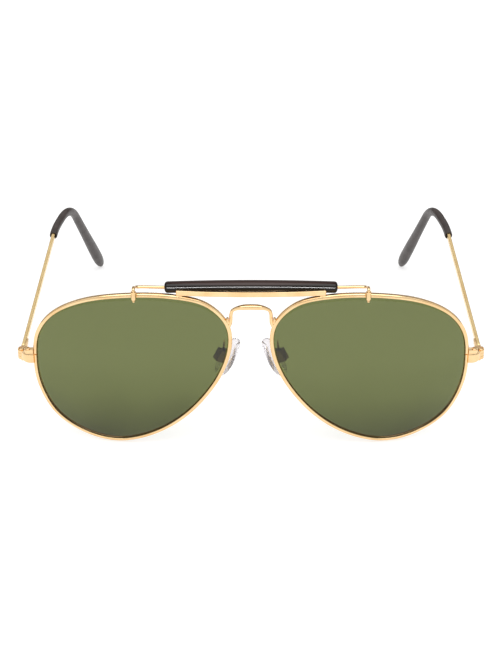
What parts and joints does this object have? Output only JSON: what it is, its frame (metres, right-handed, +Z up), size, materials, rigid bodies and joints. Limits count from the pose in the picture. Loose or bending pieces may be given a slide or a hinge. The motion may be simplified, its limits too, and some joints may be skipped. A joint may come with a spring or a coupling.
{
  "type": "aviator sunglasses",
  "caption": "Wire-frame aviator sunglasses with green teardrop lenses, a padded brow bar, adjustable nose pads and folding temples.",
  "frame": {"origin": "middle of the footprint of the bounding box, on the surface the glasses stand on when open", "axes": "+X towards the wearer's left, +Y backwards from the lenses to the ear tips, +Z up; X = 0 is the plane of symmetry"},
  "size_m": [0.1464, 0.1462, 0.0579],
  "materials": {
    "gold": "polished gold plate over a nickel-copper wire",
    "green_lens": "polished tinted glass",
    "black_gloss": "glossy black-brown plastic tube",
    "dark_tip": "satin dark brown plastic sleeve",
    "clear_pad": "clear moulded plastic"
  },
  "bodies": {
    "front": {"brow_bar": "gold", "brow_pad": "black_gloss", "brow_wire": "gold", "bridge": "gold", "rim_left": "gold", "rim_right": "gold", "lens_left": "green_lens", "lens_right": "green_lens", "brow_clip_left": "gold", "brow_clip_right": "gold", "end_piece_left": "gold", "end_piece_right": "gold", "closing_block_left": "gold", "closing_block_right": "gold", "closing_screw_left": "gold", "closing_screw_right": "gold", "hinge_front_left": "gold", "hinge_front_right": "gold", "hinge_screw_left": "gold", "hinge_screw_right": "gold", "pad_arm_left": "gold", "pad_arm_right": "gold", "pad_box_left": "gold", "pad_box_right": "gold", "pad_screw_left": "gold", "pad_screw_right": "gold"},
    "left_temple": {"hinge_rear_left": "gold", "temple_left": "gold", "temple_tip_left": "dark_tip"},
    "right_temple": {"hinge_rear_right": "gold", "temple_right": "gold", "temple_tip_right": "dark_tip"},
    "left_pad": {"nose_pad_left": "clear_pad", "pad_core_left": "gold"},
    "right_pad": {"nose_pad_right": "clear_pad", "pad_core_right": "gold"}
  },
  "joints": [
    {"name": "temple_fold_left", "type": "hinge", "parent": "front", "child": "left_temple", "pos_m": [0.072, -0.05977, 0.02873], "axis": [0, -0.0958, 0.9954], "range_deg": [0, 82]},
    {"name": "temple_fold_right", "type": "hinge", "parent": "front", "child": "right_temple", "pos_m": [-0.072, -0.05977, 0.02873], "axis": [0, 0.0958, -0.9954], "range_deg": [0, 76]},
    {"name": "nose_pad_rock_left", "type": "hinge", "parent": "front", "child": "left_pad", "pos_m": [0.00955, -0.06262, 0.02966], "axis": [0.4226, 0.9021, 0.0869], "range_deg": [-8, 8]},
    {"name": "nose_pad_rock_right", "type": "hinge", "parent": "front", "child": "right_pad", "pos_m": [-0.00955, -0.06262, 0.02966], "axis": [-0.4226, 0.9021, 0.0869], "range_deg": [-8, 8]}
  ]
}
